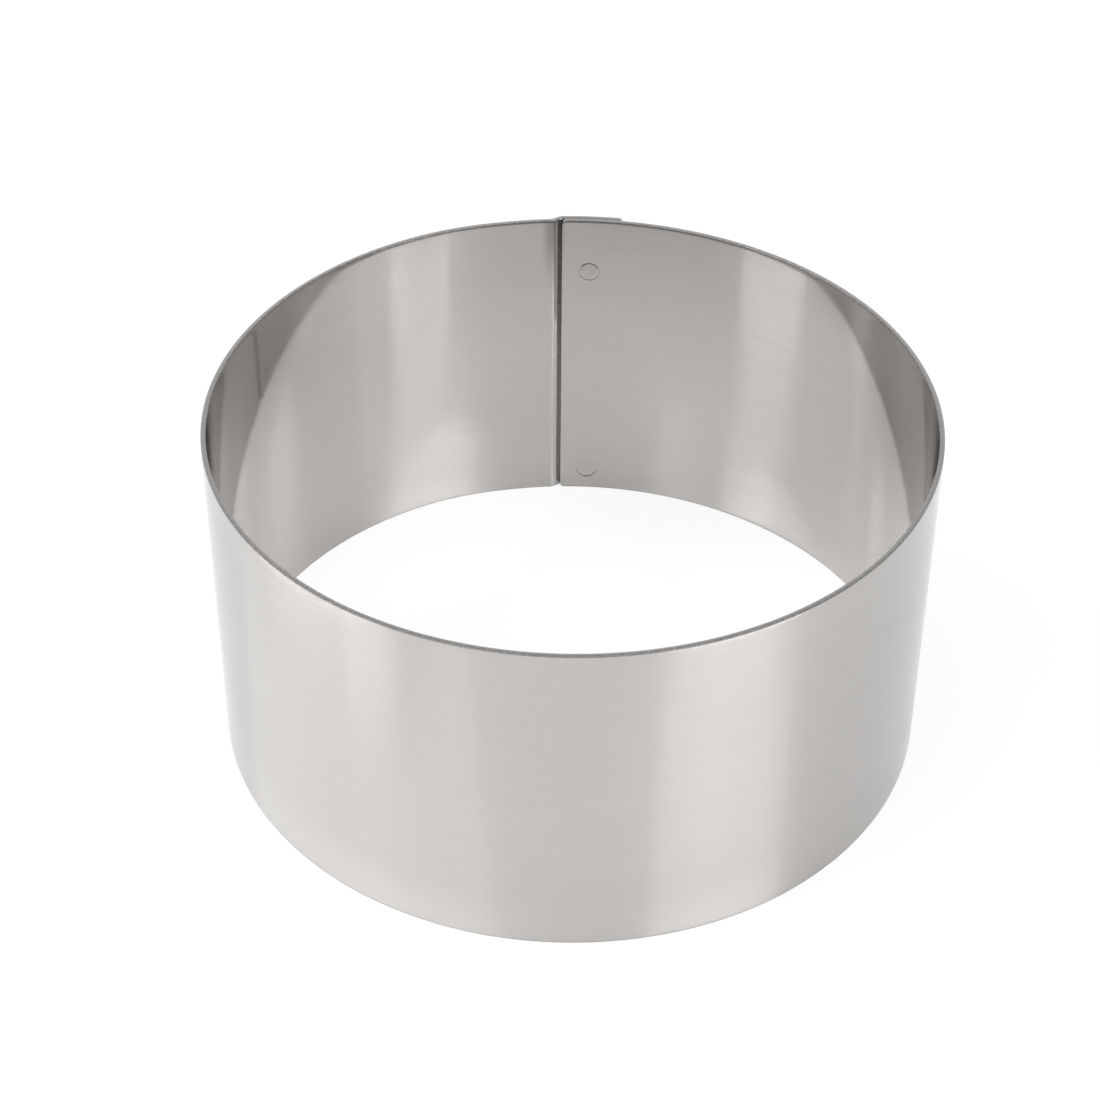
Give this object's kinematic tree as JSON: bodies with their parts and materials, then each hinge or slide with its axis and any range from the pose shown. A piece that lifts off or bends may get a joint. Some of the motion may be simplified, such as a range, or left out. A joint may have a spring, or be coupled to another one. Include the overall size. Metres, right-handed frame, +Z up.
{
  "type": "mousse ring",
  "caption": "Open round mould ring rolled from a strip of stainless sheet, closed by a stepped lap seam with spot welds, for moulding mousse, cakes and plated food.",
  "frame": {"origin": "on the ring's axis, level with the bottom rim that it stands on", "axes": "+Z up along the ring's axis; +Y through the edge of the strip's inner end, where the seam shows inside; the outer end of the lap runs from there towards +X"},
  "size_m": [0.07, 0.0705, 0.035],
  "materials": {
    "band_steel": "polished stainless sheet, 0.5 mm, nearly a mirror under a faint haze, with fine rolling grain along the strip and deburred slit edges",
    "weld_steel": "electrode-pressed spot weld face in the same stainless steel, slightly dulled, with a groove round a raised button"
  },
  "bodies": {
    "root": {"rolled_band": "band_steel", "upper_spot_weld": "weld_steel", "lower_spot_weld": "weld_steel"}
  },
  "joints": []
}
